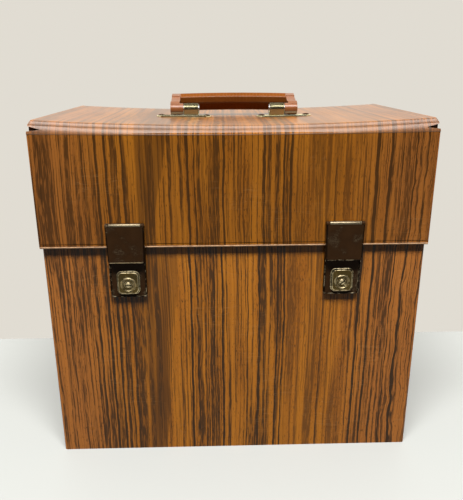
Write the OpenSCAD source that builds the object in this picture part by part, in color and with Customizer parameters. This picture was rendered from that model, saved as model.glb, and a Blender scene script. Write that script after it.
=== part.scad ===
// Record carrying case for 12 inch sleeves: an open-topped box of covered board,
// a sagging top panel hinged at the rear, a front flap hinged to the top panel,
// two hasp latches with sliding key-lock buttons, and a swinging carrying handle.
// Millimetres, +Z up, front towards -Y. The origin is the centre of the base's underside.

/* [Box] */
// Width of the top panel and the flap
case_w = 356.4; // [348:0.2:365]
// How far the top panel and flap overhang the box on each side
overhang = 1.6; // [0.6:0.2:3]
// Depth of the box, front face to back face
body_d = 206; // [200:1:220]
// Thickness of the box's boards with their covering
board_t = 4; // [3:0.5:5]
// Thickness of the base board
base_t = 3.5; // [3:0.5:5]
// Thickness of the linings
lining_t = 0.4; // [0.3:0.1:0.6]
// Height of the front panel's top edge
front_h = 255; // [250:1:270]

/* [Top panel] */
// Height of the top surface at the middle of its rear edge
top_z = 325.4; // [323:0.2:332]
// How much lower the middle sags than the two ends
sag = 5.4; // [3:0.2:8]
// How far the top panel rises from rear to front, in degrees
lid_tilt = 1.1; // [0:0.1:1.5]
// Thickness of the top panel
lid_t = 4.6; // [4:0.2:5]
// Depth of the top panel, rear to front
lid_d = 207; // [206:0.5:208]
// Slope of the top panel's front edge, from level
edge_slope = 54; // [45:1:60]
// Radius between the top surface and its sloping front edge
edge_r = 2.5; // [1:0.5:4]

/* [Flap] */
// Height of the flap's bottom edge
flap_z = 220.5; // [219:0.5:222]
// Gap between the flap's lining and the box's front face
flap_gap = 1; // [0.8:0.1:1.5]
// Thickness of the flap's board
flap_t = 2.6; // [2.2:0.2:2.8]
// How much lower the middle of the flap's top edge is than its two ends
flap_sag = 1.8; // [1:0.2:3]
// Height of the welded margin along the flap's bottom edge
margin_h = 3.6; // [3:0.2:5]

/* [Handle] */
// Sideways place of the handle's middle
handle_x = 2; // [-2:0.5:4]
// Height of the handle's pivot axis
pivot_z = 335.6; // [335.5:0.1:336.4]
// Distance of the pivot axis in front of the box's middle
pivot_front = 12; // [6:1:16]
// Overall width of the handle
handle_w = 127.2; // [124:0.4:132]
// Distance from the pivot axis to the grip's outer edge at the middle
handle_reach = 36.4; // [34:0.2:40]
// Thickness of the grip
grip_t = 12.6; // [11:0.2:13.4]
// Angle at which the handle leans back at rest, measured from level
lean = 13.5; // [10:0.5:20]

/* [Latches] */
// Distance of each latch from the middle
latch_x = 99.6; // [90:0.2:110]
// Width of the hasp at its top
hasp_w = 34.8; // [34:0.2:36]
// Height of the hasp's pin
hasp_pin_z = 242; // [241:0.5:243]
// Height of the hasp's bottom edge
hasp_low_z = 207; // [206.5:0.1:207.5]
// Width of the lock plate
lock_w = 33.2; // [32.8:0.2:34]
// Height of the lock plate's bottom edge
lock_low_z = 172; // [171:0.5:173]
// How far the lock plate stands out from the box
lock_proud = 3.3; // [3.2:0.1:3.4]
// How far the lock button slides outwards
button_travel = 4; // [3:0.2:4]

/* [Hidden] */
$fn = 48;

grain = [0.66, 0.40, 0.19];
liner = [0.80, 0.74, 0.62];
binding = [0.27, 0.16, 0.09];
bronze = [0.24, 0.18, 0.12];
brass = [0.72, 0.63, 0.36];
steel = [0.62, 0.62, 0.60];
moulded = [0.45, 0.20, 0.09];

// Box
body_w = case_w - 2*overhang;
half_w = body_w/2;
half_d = body_d/2;
corner_r = 2;
inner_w = half_w - board_t;
inner_d = half_d - board_t;

// Top panel: it is bent along an arc whose axis runs front to back above it
half_case = case_w/2;
bow_r = (half_case*half_case + sag*sag)/(2*sag);
bow_angle = asin(half_case/bow_r);
lid_under = lid_t + lining_t;
lid_gap = 0.6;
front_rise = (body_d + 2)*sin(lid_tilt);

// Flap
flap_face = -half_d - flap_gap - lining_t - flap_t;
flap_back = flap_face + flap_t;
flap_top_z = top_z + front_rise - lid_under - lid_gap;
flap_bow_r = (half_case*half_case + flap_sag*flap_sag)/(2*flap_sag);
slit_w = 12;

// Handle
pivot_y = -pivot_front;
barrel_r = 5.5;
heel_reach = 5.9;
barrel_w = 12.8;
arm_w = 9;
grip_h = 13;
arch_r = 560;
journal_r = 4.4;
loop_inner_r = journal_r + 0.08;
loop_t = 1.2;
loop_w = 14.1;
loop_x = 43.1;
plate_t = 1;
plate_l = 55;
plate_w = 17;
plate_x = 50.4;
rivet_x = 22.6;
plate_y = -(half_d + pivot_front) + 0.2;
spigot_r = 2.5;

// Latches
lock_face = -half_d - lock_proud;
lock_sheet = 0.7;
lock_top_z = 217.5;
lock_rim = 0.9;
rim_proud = 0.5;
back_plate_t = 0.6;
button_z = 186.6;
button_w = 21.4;
button_h = 23.2;
button_face = lock_face - 2.7;
neck_w = 11;
neck_h = 12;
plug_z = 185.1;
plug_r = 3.3;
bolt_front = lock_face + lock_sheet + 0.3;
bolt_t = 0.9;
tongue_w = 1.2;
tongue_z = [208.4, 213.6];
knuckle_r = 2.3;
pin_r = 1.2;
hasp_pin_y = flap_face - knuckle_r;
hasp_face = flap_face - 5;
hasp_sheet = 1;
side_knuckle_in = 14.6;
side_knuckle_out = 17.3;
hasp_rivet_x = 8;
hasp_rivet_z = 230;
lug_z = [178, 204];
lug_h = 4;

// Shared shapes

// A rectangle with round corners, w wide about x = 0, from low to high
module round_rect(w, low, high, r) {
    translate([-w/2 + r, low]) square([w - 2*r, high - low]);
    translate([-w/2, low + r]) square([w, high - low - 2*r]);
    for (x = [-1, 1], y = [low + r, high - r])
        translate([x*(w/2 - r), y]) circle(r);
}

// Stands an outline drawn in x and z upright, from y = front to y = back
module upright(front, back) {
    translate([0, back, 0]) rotate([90, 0, 0]) linear_extrude(back - front) children();
}

// Lays an outline drawn in y and z along x, from x = from to x = to
module along_x(from, to) {
    translate([from, 0, 0]) rotate([90, 0, 90]) linear_extrude(to - from) children();
}

// Bends a section along the sag's arc. The section is drawn with x as depth below
// the surface and y as distance towards the front
module bowed(angle = bow_angle, r = bow_r) {
    translate([0, 0, r]) rotate([90, 0, 0]) rotate([0, 0, -90 - angle])
        rotate_extrude(angle = 2*angle, $fn = 1080) translate([r, 0]) children();
}

// The top panel's own frame: its surface's rear edge at the middle, tilted
module on_lid() {
    translate([0, half_d, top_z]) rotate([-lid_tilt, 0, 0]) children();
}

// A spot on the top surface, square to the bowed surface there
module on_bow(x, y) {
    translate([0, y, bow_r]) rotate([0, -asin(x/bow_r), 0]) translate([0, 0, -bow_r]) children();
}

// Everything above the top panel's underside, lowered by a gap
module over_lid(gap) {
    on_lid() bowed() translate([-60, -10]) square([60 + lid_under + gap, body_d + 20]);
}

// Places a latch piece drawn with +X outwards on the left (-1) or right (1)
module latch(side) {
    translate([side*latch_x, 0, 0]) mirror([side < 0 ? 1 : 0, 0, 0]) children();
}

// Box boards

module base_board() {
    color(grain) linear_extrude(base_t) round_rect(body_w, -half_d, half_d, corner_r);
}

// Slots in the front board for the lock plate's clenched lugs
module lug_slots(front, back) {
    for (side = [-1, 1]) latch(side)
        for (x = [-1, 1], z = lug_z)
            translate([x*(lock_w/2 - lock_sheet/2) - 0.55, front, z - 0.2])
                cube([1.1, back - front, lug_h + 0.4]);
}

module wall_board(height) {
    intersection() {
        translate([-half_w, -half_d, base_t]) cube([body_w, board_t, height - base_t]);
        linear_extrude(height + 1) round_rect(body_w, -half_d, half_d, corner_r);
    }
}

module front_panel() {
    color(grain) difference() {
        wall_board(front_h);
        lug_slots(-half_d - 1, -inner_d + 1);
    }
}

module back_panel() {
    color(grain) difference() {
        mirror([0, 1, 0]) wall_board(top_z + 10);
        over_lid(lid_gap);
    }
}

// The side boards pass behind the front panel and reach its face above it
module side_panel(side) {
    color(grain) difference() {
        translate([side > 0 ? inner_w : -half_w, -half_d, base_t])
            cube([board_t, half_d + inner_d, top_z + 12]);
        translate([-half_w - 1, -half_d - 1, 0]) cube([body_w + 2, board_t + 1, front_h]);
        over_lid(lid_gap);
    }
}

// Linings

module base_lining() {
    color(liner) translate([-inner_w, -inner_d, base_t]) cube([2*inner_w, 2*inner_d, lining_t]);
}

lining_low = base_t + lining_t;
lining_high = 312;
binding_t = 0.5;
binding_drop = 6;

module front_lining() {
    color(liner) difference() {
        translate([-inner_w, -inner_d, lining_low])
            cube([2*inner_w, lining_t, front_h - binding_drop - lining_low]);
        lug_slots(-inner_d - 1, -inner_d + lining_t + 1);
    }
}

module back_lining() {
    color(liner) translate([-inner_w, inner_d - lining_t, lining_low])
        cube([2*inner_w, lining_t, lining_high - lining_low]);
}

module side_lining(side) {
    color(liner) translate([side > 0 ? inner_w - lining_t : -inner_w, -inner_d + lining_t, lining_low])
        cube([lining_t, 2*(inner_d - lining_t), lining_high - lining_low]);
}

// Binding folded over the front panel's top edge
module mouth_binding() {
    low = front_h - binding_drop;
    color(binding) difference() {
        translate([-inner_w, -half_d - binding_t, low])
            cube([2*inner_w, board_t + 2*binding_t, binding_drop + binding_t]);
        translate([-inner_w - 1, -half_d, low - 1]) cube([2*inner_w + 2, board_t, binding_drop + 1]);
    }
}

// Hinge strips

strip_inset = 3.5;
rear_strip_low = 302;
rear_strip_t = 0.6;

module rear_hinge_strip() {
    color(binding) intersection() {
        translate([0, 0, top_z]) bowed(asin((half_w - strip_inset)/bow_r))
            translate([1.6, -half_d - rear_strip_t]) square([60, rear_strip_t]);
        translate([-half_w, half_d - 1, rear_strip_low]) cube([body_w, 3, 60]);
    }
}

front_strip_half = half_case - slit_w;
strip_t = 0.5;
strip_leaf = 17;

// An L of soft sheet: one leaf under the top panel's front edge, one behind the flap
module front_hinge_strip() {
    leaf_front = -flap_back - 0.02;
    slope = strip_leaf*tan(lid_tilt);
    leaf_top = -lid_gap - lining_t + 0.02;
    color(binding) translate([0, 0, flap_top_z]) bowed(asin(front_strip_half/bow_r)) polygon([
        [leaf_top, leaf_front], [leaf_top + slope, leaf_front - strip_leaf],
        [leaf_top + slope + strip_t, leaf_front - strip_leaf], [leaf_top + strip_t, leaf_front - strip_t],
        [strip_leaf, leaf_front - strip_t], [strip_leaf, leaf_front]]);
}

// The covering that runs on from the top panel's front edge over the gap and down the
// flap's face, slit free near each end so that the corners open
module front_hinge_cover() {
    edge = lid_d*cos(lid_tilt) - half_d + lid_t*sin(lid_tilt) + 0.03;
    under = flap_top_z - (top_z + lid_d*sin(lid_tilt) - lid_t*cos(lid_tilt));
    leaf = -lid_gap - lining_t;
    face = -flap_face + 0.02;
    foot = 5.2;
    color(grain) translate([0, 0, flap_top_z]) bowed(asin(front_strip_half/bow_r)) polygon([
        [under - edge_lip, edge], [-0.7, face - 1.1], [0.5, face + strip_t], [foot, face + strip_t],
        [foot, face], [0.9, face], [-0.2, face - 1.3], [leaf, 0.02 - flap_back], [leaf, edge]]);
}

// Top panel

// Section with its depth along x: flat on top, with a rounded, sloping front edge
module lid_section() {
    rise = lid_t - edge_lip - edge_r*(1 - cos(edge_slope));
    flat_end = lid_d - edge_r*sin(edge_slope) - rise/tan(edge_slope);
    steps = 9;
    polygon([[0, 0], for (i = [0:steps]) let (a = edge_slope*i/steps)
        [edge_r*(1 - cos(a)), flat_end + edge_r*sin(a)],
        [lid_t - edge_lip, lid_d], [lid_t, lid_d], [lid_t, 0]]);
}
edge_lip = 0.5;

module lid_plan(inset) {
    translate([0, 0, -30]) linear_extrude(60)
        round_rect(case_w - 2*inset, -lid_d + inset, 5, 3);
}

module handle_holes(r) {
    for (side = [-1, 1], x = [-rivet_x, rivet_x])
        on_bow(handle_x + side*plate_x + x, plate_y) translate([0, 0, -12]) cylinder(h = 24, r = r);
}

module top_panel() {
    color(grain) on_lid() difference() {
        intersection() {
            bowed(asin((half_case + 2)/bow_r)) lid_section();
            lid_plan(0);
        }
        handle_holes(rivet_r + 0.05);
    }
}

module top_lining() {
    inset = 6;
    color(liner) on_lid() difference() {
        bowed(asin((half_w - board_t - inset)/bow_r))
            translate([lid_t + 0.02, inset + board_t]) square([lining_t - 0.02, lid_d - strip_leaf - inset - board_t - 0.2]);
        handle_holes(rivet_r + 0.05);
    }
}

// Handle fittings

rivet_r = 1.7;
rivet_head_r = 3.5;
rivet_head_h = 1;
backing_t = 1.2;

module plate_plan(side, length, width) {
    translate([handle_x + side*plate_x, plate_y, -30]) linear_extrude(60)
        rotate(90) round_rect(width, -length/2, length/2, width/2 - 0.01);
}

module handle_plate(side) {
    color(brass) difference() {
        on_lid() difference() {
            intersection() {
                bowed() translate([-plate_t, 80]) square([plate_t, 70]);
                plate_plan(side, plate_l, plate_w);
            }
            handle_holes(rivet_r + 0.05);
        }
        loop_body(side, 0.1);
    }
}

// The loop's arch and legs, grown by a clearance
module loop_body(side, grow) {
    outer = loop_inner_r + loop_t + grow;
    inner = loop_inner_r - grow;
    middle = handle_x + side*loop_x;
    along_x(middle - loop_w/2 - grow, middle + loop_w/2 + grow) translate([pivot_y, pivot_z]) difference() {
        union() {
            circle(outer, $fn = 72);
            translate([-outer, -12]) square([2*outer, 12]);
        }
        circle(inner, $fn = 72);
        translate([-inner, -13]) square([2*inner, 13]);
    }
}

module handle_loop(side) {
    color(brass) difference() {
        loop_body(side, 0);
        on_lid() bowed() translate([-0.01, 60]) square([20, 100]);
    }
}

module handle_rivets() {
    color(bronze) on_lid() for (side = [-1, 1], x = [-rivet_x, rivet_x])
        on_bow(handle_x + side*plate_x + x, plate_y) rivet(plate_t + 0.01, lid_under + backing_t + 0.01);
}

// A domed rivet: its head stands above top, its clenched end lies below -bottom
module rivet(top, bottom) {
    dome_r = (rivet_head_r*rivet_head_r + rivet_head_h*rivet_head_h)/(2*rivet_head_h);
    translate([0, 0, -bottom]) cylinder(h = top + bottom + 0.2, r = rivet_r);
    intersection() {
        translate([0, 0, top]) cylinder(h = rivet_head_h, r = rivet_head_r);
        translate([0, 0, top + rivet_head_h - dome_r]) sphere(dome_r, $fn = 60);
    }
    translate([0, 0, -bottom - 0.8]) cylinder(h = 0.8, r = 2.8);
}

module handle_backing_plates() {
    color(steel) on_lid() difference() {
        for (side = [-1, 1]) intersection() {
            bowed() translate([lid_under, 80]) square([backing_t, 70]);
            plate_plan(side, plate_l - 2, plate_w - 4);
        }
        handle_holes(rivet_r + 0.05);
    }
}

// Handle: drawn standing up about its pivot, then leant back to its rest

module at_rest() {
    translate([handle_x, pivot_y, pivot_z]) rotate([-(90 - lean), 0, 0]) children();
}

// Section of the grip: a flat outer edge, two flat faces and a ridge along the inside
module grip_section(middle) {
    half = grip_t/2;
    outer = grip_h/2;
    translate([0, middle]) polygon([[0, -outer], [half, 3.3 - outer], [half, outer - 2.5], [half - 2.2, outer],
        [2.2 - half, outer], [-half, outer - 2.5], [-half, 3.3 - outer]]);
}

// Side view of an arm: barrel, tapering arm, grip end, and a flat heel on each side
// that seats on the bracket plate when the handle is laid back or forward
module arm_side() {
    middle = handle_reach - grip_h/2 - 3;
    circle(barrel_r, $fn = 72);
    polygon([[-4.2, 0], [4.2, 0], [5.2, middle], [-5.2, middle]]);
    grip_section(middle);
    intersection() {
        union() {
            rotate(lean) translate([-heel_reach, 0]) square([heel_reach, 9]);
            rotate(-lean) square([heel_reach, 9]);
        }
        polygon([[-9, -4], [9, -4], [4, 13], [-4, 13]]);
    }
}

// Front view of the grip and arms, which rounds the outer corners
module handle_front() {
    difference() {
        union() {
            round_rect(handle_w, -20, handle_reach - 2.2, 2.2);
            translate([-handle_w/2 + 14, 0]) square([handle_w - 28, handle_reach]);
        }
        round_rect(handle_w - 2*arm_w, -40, handle_reach - grip_h - 2.2, 3);
    }
}

module handle_grip() {
    color(moulded) at_rest() difference() {
        union() {
            translate([0, 0, handle_reach - arch_r]) rotate([90, 0, 0])
                rotate([0, 0, 90 - asin(58/arch_r)])
                rotate_extrude(angle = 2*asin(58/arch_r), $fn = 720)
                translate([arch_r - grip_h/2, 0]) rotate(-90) grip_section(0);
            for (side = [-1, 1]) intersection() {
                along_x(side > 0 ? handle_w/2 - arm_w : -handle_w/2, side > 0 ? handle_w/2 : arm_w - handle_w/2)
                    arm_side();
                upright(-20, 20) handle_front();
            }
            for (side = [-1, 1]) along_x(side > 0 ? handle_w/2 - barrel_w : -handle_w/2,
                side > 0 ? handle_w/2 : barrel_w - handle_w/2) circle(barrel_r, $fn = 72);
        }
        for (side = [-1, 1]) along_x(side > 0 ? handle_w/2 - barrel_w - 1 : -handle_w/2 + 3,
            side > 0 ? handle_w/2 - 3 : barrel_w - handle_w/2 + 1) circle(spigot_r);
    }
}

module handle_pins() {
    inner = loop_x - loop_w/2 - 1;
    shoulder = handle_w/2 - barrel_w;
    color(steel) at_rest() for (side = [-1, 1]) mirror([side < 0 ? 1 : 0, 0, 0]) {
        along_x(inner, shoulder) circle(journal_r, $fn = 72);
        along_x(shoulder - 0.5, handle_w/2 - 3) circle(spigot_r);
    }
}

// Flap

module flap_outline(inset, low) {
    top = flap_top_z + flap_sag + 2;
    side = half_case - inset;
    translate([-side, low]) square([2*side, top - low]);
}

// The flap's sheet between two faces, its top edge bent along its own sag
module flap_sheet(front, back, drop, inset, low, r) {
    intersection() {
        translate([0, 0, flap_top_z]) bowed(asin((half_case + 2)/flap_bow_r), flap_bow_r) difference() {
            translate([drop, -back]) square([120, back - front]);
            if (r > 0) difference() {
                translate([drop - 1, -front - r]) square([r + 1, r + 1]);
                translate([drop + r, -front - r]) circle(r);
            }
        }
        upright(front - 1, back + 1) flap_outline(inset, low);
    }
}

module flap_rivet_holes(r) {
    for (side = [-1, 1]) latch(side) for (x = [-hasp_rivet_x, hasp_rivet_x])
        translate([x, flap_face - 5, hasp_rivet_z]) rotate([-90, 0, 0]) cylinder(h = 10, r = r);
}

hasp_rivet_r = 1.3;
margin_side = 1.2;

module flap_panel() {
    color(grain) difference() {
        flap_sheet(flap_face, flap_back, 0, margin_side, flap_z + margin_h, 1.9);
        flap_rivet_holes(hasp_rivet_r + 0.05);
    }
}

module flap_lining() {
    color(liner) difference() {
        flap_sheet(flap_back, flap_back + lining_t, strip_leaf + 2, 5, flap_z + margin_h + 1.5, 0);
        flap_rivet_holes(hasp_rivet_r + 0.05);
    }
}

// Welded margin: a thin flange round the flap's bottom and side edges with a bead
module flap_margin() {
    color(binding) {
        difference() {
            flap_sheet(flap_face + 0.5, flap_back - 0.3, 3, 0, flap_z + 0.9, 0);
            upright(flap_face - 1, flap_back + 1) flap_outline(margin_side, flap_z + margin_h);
        }
        along_x(-half_case + 0.4, half_case - 0.4) translate([flap_face + 1.4, flap_z + 0.95]) circle(0.95);
    }
}

// Hasps

module hasp_outline(inset) {
    top = hasp_w/2 - inset;
    low = top - 0.7;
    r = 2.2 - inset;
    bottom = hasp_low_z + inset;
    polygon([[-top, hasp_pin_z + 0.5], [top, hasp_pin_z + 0.5], [low, bottom + r], [low - r, bottom],
        [r - low, bottom], [-low, bottom + r]]);
    for (x = [-1, 1]) translate([x*(low - r), bottom + r]) circle(r);
}

module hasp_cover(side) {
    knuckle_half = side_knuckle_in - 0.3;
    color(bronze) latch(side) difference() {
        union() {
            difference() {
                upright(hasp_face, flap_face - 0.7) hasp_outline(0);
                upright(hasp_face + hasp_sheet, flap_face) hasp_outline(hasp_sheet);
                // The side walls stop short of the flap's fixed knuckles
                translate([-30, hasp_face + hasp_sheet, hasp_pin_z - 3.8]) cube([60, 9, 9]);
                for (x = [-1, 1]) translate([x > 0 ? knuckle_half : -30, hasp_face - 1, hasp_pin_z - 2.8])
                    cube([30 - knuckle_half, 9, 9]);
                translate([-30, hasp_face - 1, hasp_pin_z]) cube([60, 9, 9]);
            }
            along_x(-knuckle_half, knuckle_half) translate([hasp_pin_y, hasp_pin_z]) circle(knuckle_r);
        }
        along_x(-20, 20) translate([hasp_pin_y, hasp_pin_z]) circle(pin_r + 0.05);
    }
}

// Catch on the hasp's inner side: a pierced tab on a welded foot
module hasp_tongue(side) {
    low = tongue_z[0];
    high = tongue_z[1];
    root = hasp_face + hasp_sheet;
    tip = -half_d - back_plate_t - 0.3;
    color(brass) latch(side) difference() {
        union() {
            translate([-tongue_w/2, root, low]) cube([tongue_w, tip - root, high - low]);
            translate([-4, root, low]) cube([8, 0.6, high - low]);
        }
        translate([-1, bolt_front - 0.2, low + 1]) cube([2, 1, 2.8]);
    }
}

module hasp_base(side) {
    sheet = 0.8;
    color(bronze) latch(side) difference() {
        union() {
            upright(flap_face - sheet, flap_face) round_rect(31, 222, hasp_pin_z - 3, 1.5);
            for (x = [-1, 1]) {
                from = x > 0 ? side_knuckle_in : -side_knuckle_out;
                along_x(from, from + side_knuckle_out - side_knuckle_in)
                    translate([hasp_pin_y, hasp_pin_z]) circle(knuckle_r);
                translate([from, flap_face - sheet, hasp_pin_z - 3.3])
                    cube([side_knuckle_out - side_knuckle_in, sheet, 3.3]);
            }
            translate([-side_knuckle_out, flap_face - sheet, hasp_pin_z - 3.3])
                cube([2*side_knuckle_out, sheet, 0.8]);
        }
        along_x(-20, 20) translate([hasp_pin_y, hasp_pin_z]) circle(pin_r);
        for (x = [-hasp_rivet_x, hasp_rivet_x]) translate([x, flap_face - 5, hasp_rivet_z])
            rotate([-90, 0, 0]) cylinder(h = 10, r = hasp_rivet_r + 0.05);
    }
}

module hasp_pin(side) {
    color(steel) latch(side) {
        along_x(-side_knuckle_out, side_knuckle_out) translate([hasp_pin_y, hasp_pin_z]) circle(pin_r);
        for (x = [-side_knuckle_out - 0.4, side_knuckle_out])
            along_x(x, x + 0.4) translate([hasp_pin_y, hasp_pin_z]) circle(1.6);
    }
}

module hasp_rivets(side) {
    head = flap_face - 0.8;
    end = flap_back + lining_t + 0.45;
    color(steel) latch(side) for (x = [-hasp_rivet_x, hasp_rivet_x])
        translate([x, 0, hasp_rivet_z]) rotate([-90, 0, 0]) {
            translate([0, 0, head - 0.8]) cylinder(h = 0.8, r = 2.4);
            translate([0, 0, head - 0.1]) cylinder(h = end - head + 0.2, r = hasp_rivet_r);
            translate([0, 0, end]) cylinder(h = 0.2, r = 2);
        }
}

module hasp_washers(side) {
    back = flap_back + lining_t;
    color(steel) latch(side) for (x = [-hasp_rivet_x, hasp_rivet_x])
        translate([x, back, hasp_rivet_z]) rotate([-90, 0, 0]) difference() {
            cylinder(h = 0.45, r = 3.2);
            translate([0, 0, -1]) cylinder(h = 3, r = hasp_rivet_r + 0.05);
        }
}

// Locks

// Pressed lock plate: a shallow pan with a raised rim, a slot for the button's neck,
// a notch open at the top for the hasp's tongue, and lugs clenched behind the board
module lock_plate(side) {
    clench = -inner_d + lining_t + 0.8;
    color(bronze) latch(side) {
        difference() {
            union() {
                upright(lock_face, -half_d) round_rect(lock_w, lock_low_z, lock_top_z, 2.2);
                difference() {
                    upright(lock_face - rim_proud, lock_face + 0.1)
                        round_rect(lock_w, lock_low_z, lock_top_z, 2.2);
                    upright(lock_face - 1, lock_face + 1) round_rect(lock_w - 2*lock_rim,
                        lock_low_z + lock_rim, lock_top_z - lock_rim, 1.6);
                }
            }
            upright(lock_face + lock_sheet, -half_d + 1) round_rect(lock_w - 2*lock_sheet,
                lock_low_z + lock_sheet, lock_top_z - lock_sheet, 1.6);
            translate([-neck_w/2 - 0.3, lock_face - 1, button_z - neck_h/2 - 0.3])
                cube([neck_w + 0.6 + button_travel, 3, neck_h + 0.6]);
            translate([-1.2, lock_face - 1, 207.3]) cube([2.4, 3, 20]);
            translate([-1.2, lock_face - 1, lock_top_z - 2]) cube([2.4, 10, 5]);
        }
        for (x = [-1, 1], z = lug_z) mirror([x < 0 ? 1 : 0, 0, 0]) {
            translate([lock_w/2 - lock_sheet, -half_d - 1, z])
                cube([lock_sheet, 1 + board_t + lining_t + 1.6, lug_h]);
            translate([lock_w/2 - 4, clench, z]) cube([4, 0.8, lug_h]);
        }
    }
}

module lock_back_plate(side) {
    color(steel) latch(side) upright(-half_d - back_plate_t, -half_d)
        round_rect(lock_w - 2*lock_sheet - 0.3, lock_low_z + 0.9, lock_top_z - 1, 1.4);
}

module lock_clench_plate(side) {
    color(steel) latch(side) difference() {
        upright(-inner_d + lining_t, -inner_d + lining_t + 0.8)
            round_rect(lock_w + 5, lock_low_z + 2, lock_top_z - 4, 3);
        for (x = [-1, 1], z = lug_z)
            translate([x*(lock_w/2 - lock_sheet/2) - 0.45, -inner_d - 1, z - 0.1])
                cube([0.9, 4, lug_h + 0.2]);
    }
}

// Leaf spring bowed between the bolt's outer edge and the pan's side wall
module lock_spring(side) {
    wall = lock_w/2 - lock_sheet;
    reach = wall - bolt_half - 0.05;
    half_chord = 7;
    r = (half_chord*half_chord + reach*reach)/(2*reach);
    color(steel) latch(side) upright(bolt_front, bolt_front + 1.3) intersection() {
        translate([bolt_half + 0.05 + r, button_z]) difference() {
            circle(r, $fn = 96);
            circle(r - 0.35, $fn = 96);
        }
        translate([bolt_half - 1, button_z - 10]) square([wall - bolt_half + 1, 20]);
    }
}
bolt_half = 10;

module bore_plug(r) {
    translate([0, button_face - 2, plug_z]) rotate([-90, 0, 0]) cylinder(h = 12, r = r);
}

// Sliding button: a stepped square head with a dished face and a ring round the plug
module lock_button(side) {
    base = lock_face - 0.15;
    low = button_z - button_h/2;
    high = button_z + button_h/2;
    color(brass) latch(side) difference() {
        union() {
            upright(base - 1.1, base) round_rect(button_w, low, high, 5);
            upright(button_face, base - 1) round_rect(button_w - 2.4, low + 1.2, high - 1.2, 4.4);
            upright(base - 0.1, bolt_front) round_rect(neck_w, button_z - neck_h/2, button_z + neck_h/2, 1);
            translate([0, button_face, plug_z]) rotate([-90, 0, 0]) translate([0, 0, -0.45])
                cylinder(h = 1, r = 5.2);
        }
        translate([0, button_face, plug_z]) rotate([-90, 0, 0]) difference() {
            translate([0, 0, -1]) cylinder(h = 1.6, r = 7);
            translate([0, 0, -2]) cylinder(h = 4, r = 5.2);
        }
        bore_plug(plug_r + 0.06);
    }
}

// Bolt fixed behind the button, its nose pointing at the hasp's tongue
module lock_bolt(side) {
    nose_gap = 0.35;
    color(steel) latch(side) difference() {
        union() {
            upright(bolt_front, bolt_front + bolt_t) {
                round_rect(2*bolt_half, button_z - 9.6, button_z + 9.6, 1.5);
                translate([3, button_z + 5]) square([5, 212.4 - button_z - 5]);
            }
            translate([tongue_w/2 + nose_gap, bolt_front, 209.9]) cube([4, 0.6, 1.8]);
        }
        bore_plug(plug_r + 0.06);
    }
}

// Key plug with a keyhole slot and a staked rear flange
module key_plug(side) {
    front = button_face - 0.3;
    flange = bolt_front + bolt_t + 0.1;
    color(brass) latch(side) translate([0, 0, plug_z]) rotate([-90, 0, 0]) difference() {
        union() {
            translate([0, 0, front]) cylinder(h = flange - front + 0.1, r = plug_r);
            translate([0, 0, flange]) cylinder(h = 0.55, r = 4.4);
        }
        translate([-0.55, -2.1, front - 1]) cube([1.1, 4.2, 3.4]);
    }
}

base_board();
front_panel();
back_panel();
side_panel(-1);  // left_side_panel
side_panel(1);  // right_side_panel
base_lining();
front_lining();
back_lining();
side_lining(-1);  // left_side_lining
side_lining(1);  // right_side_lining
mouth_binding();
rear_hinge_strip();
lock_plate(-1);  // left_lock_plate
lock_back_plate(-1);  // left_lock_back_plate
lock_spring(-1);  // left_lock_spring
lock_clench_plate(-1);  // left_lock_clench_plate
lock_plate(1);  // right_lock_plate
lock_back_plate(1);  // right_lock_back_plate
lock_spring(1);  // right_lock_spring
lock_clench_plate(1);  // right_lock_clench_plate
top_panel();
top_lining();
front_hinge_strip();
front_hinge_cover();
handle_plate(-1);  // left_handle_plate
handle_plate(1);  // right_handle_plate
handle_loop(-1);  // left_handle_loop
handle_loop(1);  // right_handle_loop
handle_rivets();
handle_backing_plates();
handle_grip();
handle_pins();
flap_panel();
flap_lining();
flap_margin();
hasp_base(-1);  // left_hasp_base
hasp_pin(-1);  // left_hasp_pin
hasp_rivets(-1);  // left_hasp_rivets
hasp_washers(-1);  // left_hasp_washers
hasp_base(1);  // right_hasp_base
hasp_pin(1);  // right_hasp_pin
hasp_rivets(1);  // right_hasp_rivets
hasp_washers(1);  // right_hasp_washers
hasp_cover(-1);  // left_hasp_cover
hasp_tongue(-1);  // left_hasp_tongue
hasp_cover(1);  // right_hasp_cover
hasp_tongue(1);  // right_hasp_tongue
lock_button(-1);  // left_lock_button
lock_bolt(-1);  // left_lock_bolt
lock_button(1);  // right_lock_button
lock_bolt(1);  // right_lock_bolt
key_plug(-1);  // left_key_plug
key_plug(1);  // right_key_plug
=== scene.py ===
import math

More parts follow.
